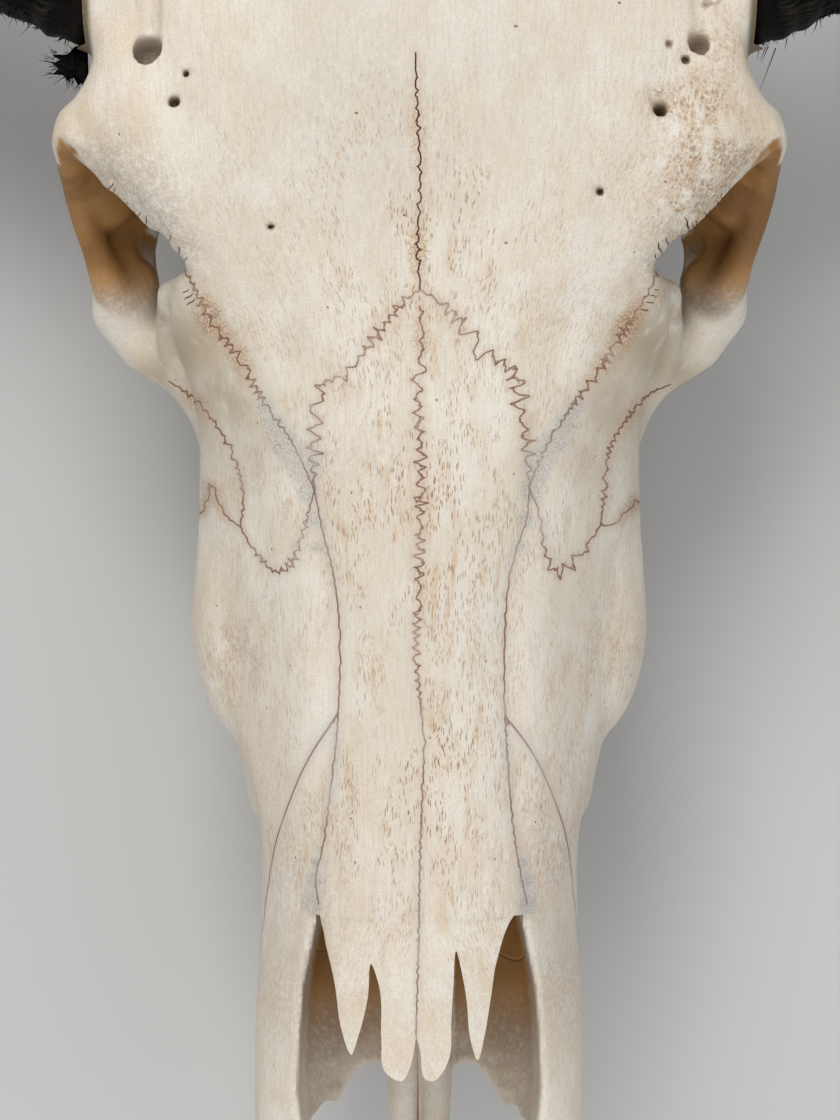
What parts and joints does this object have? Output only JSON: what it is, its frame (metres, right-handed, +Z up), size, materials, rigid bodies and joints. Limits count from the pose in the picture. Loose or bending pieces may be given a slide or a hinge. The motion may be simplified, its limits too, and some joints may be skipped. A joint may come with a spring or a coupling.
{
  "type": "water buffalo skull",
  "caption": "Life-size skull of an adult water buffalo without its lower jaw, with curved dark horn sheaths, lying on its cheek teeth and occiput.",
  "frame": {"origin": "middle of the box's bottom face, on the floor that the skull lies on", "axes": "+Z up from the floor, through the forehead; +Y from the muzzle to the poll and the horn tips; +X to the side of the nodes whose names end in _right, which is the right-hand side seen from above with the poll up"},
  "size_m": [0.6798, 0.7096, 0.1683],
  "materials": {
    "bone": "dry cream bone with a faint natural sheen",
    "horn": "black keratin sheath, fibrous and half matt"
  },
  "bodies": {
    "root": {"frontal": "bone", "braincase": "bone", "nasal_left": "bone", "nasal_right": "bone", "lacrimal_left": "bone", "lacrimal_right": "bone", "zygomatic_left": "bone", "zygomatic_right": "bone", "maxilla_left": "bone", "maxilla_right": "bone", "premaxilla_left": "bone", "premaxilla_right": "bone", "horn_left": "horn", "horn_right": "horn"}
  },
  "joints": []
}
